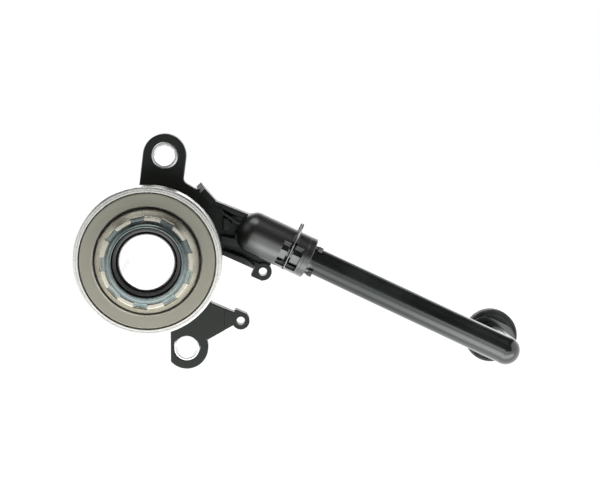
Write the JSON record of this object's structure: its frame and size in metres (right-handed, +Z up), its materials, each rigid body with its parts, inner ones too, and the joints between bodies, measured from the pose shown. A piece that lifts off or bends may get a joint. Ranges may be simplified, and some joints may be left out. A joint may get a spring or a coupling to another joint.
{
  "type": "concentric slave cylinder",
  "caption": "Ring-shaped hydraulic clutch release cylinder with ball release bearing, sprung piston, nylon housing with bolt ears, and an elbowed feed pipe held in its connector by a wire clip.",
  "frame": {"origin": "on the axis of the bore, in the plane of the face that the housing is bolted down on", "axes": "+Y along the bore towards the gearbox, -Y towards the engine and the viewer of the bearing, +X to the right of that viewer along the pipe, +Z up"},
  "size_m": [0.2231, 0.119, 0.1204],
  "materials": {
    "housing_nylon": "moulded glass-filled nylon, low sheen",
    "pipe_nylon": "moulded nylon, soft gloss",
    "piston_nylon": "machined thermoset plastic",
    "seal_rubber": "moulded rubber",
    "grommet_rubber": "moulded rubber, satin",
    "bearing_steel": "ground bearing steel",
    "polished_steel": "polished steel",
    "zinc_plate": "zinc plated and passivated",
    "bush_steel": "rolled steel bush",
    "tube_steel": "dark drawn steel",
    "spring_steel": "oiled spring steel",
    "plated_wire": "nickel-plated spring wire",
    "cage_nylon": "moulded nylon"
  },
  "bodies": {
    "housing": {"housing": "housing_nylon", "bush_upper": "bush_steel", "bush_lower": "bush_steel", "guide_tube": "tube_steel", "guide_tube_o_ring": "seal_rubber", "spigot_o_ring": "seal_rubber", "stop_ring": "spring_steel", "pipe": "pipe_nylon", "pipe_o_ring": "seal_rubber", "outlet_o_ring": "seal_rubber", "grommet": "grommet_rubber", "preload_spring": "spring_steel"},
    "wire_clip": {"wire_clip": "plated_wire"},
    "carriage": {"piston": "piston_nylon", "piston_seal": "seal_rubber", "spring_cap": "zinc_plate", "bearing_inner_ring": "bearing_steel", "carrier_sleeve": "zinc_plate"},
    "turning_ring": {"bearing_outer_ring": "bearing_steel", "outer_shell": "polished_steel", "bearing_front_seal": "seal_rubber", "bearing_rear_seal": "seal_rubber"},
    "ball_set": {"ball_cage": "cage_nylon", "ball_01": "bearing_steel", "ball_02": "bearing_steel", "ball_03": "bearing_steel", "ball_04": "bearing_steel", "ball_05": "bearing_steel", "ball_06": "bearing_steel", "ball_07": "bearing_steel", "ball_08": "bearing_steel", "ball_09": "bearing_steel", "ball_10": "bearing_steel", "ball_11": "bearing_steel", "ball_12": "bearing_steel", "ball_13": "bearing_steel", "ball_14": "bearing_steel"}
  },
  "joints": [
    {"name": "release_stroke", "type": "slide", "parent": "housing", "child": "carriage", "axis": [0, 1, 0], "range_m": [0, 0.012], "stiffness_N_per_m": 2000, "springref_m": -0.02, "deforming": ["preload_spring"]},
    {"name": "bearing_spin", "type": "hinge", "parent": "carriage", "child": "turning_ring", "pos_m": [0, -0.0443, 0], "axis": [0, 1, 0], "continuous": true},
    {"name": "cage_spin", "type": "hinge", "parent": "carriage", "child": "ball_set", "pos_m": [0, -0.0443, 0], "axis": [0, 1, 0], "continuous": true},
    {"name": "clip_pull", "type": "slide", "parent": "housing", "child": "wire_clip", "axis": [0.4289, 0, 0.9033], "range_m": [0, 0.006]}
  ],
  "couplings": [
    {"joint": "cage_spin", "follows": "bearing_spin", "ratio": 0.5719}
  ]
}
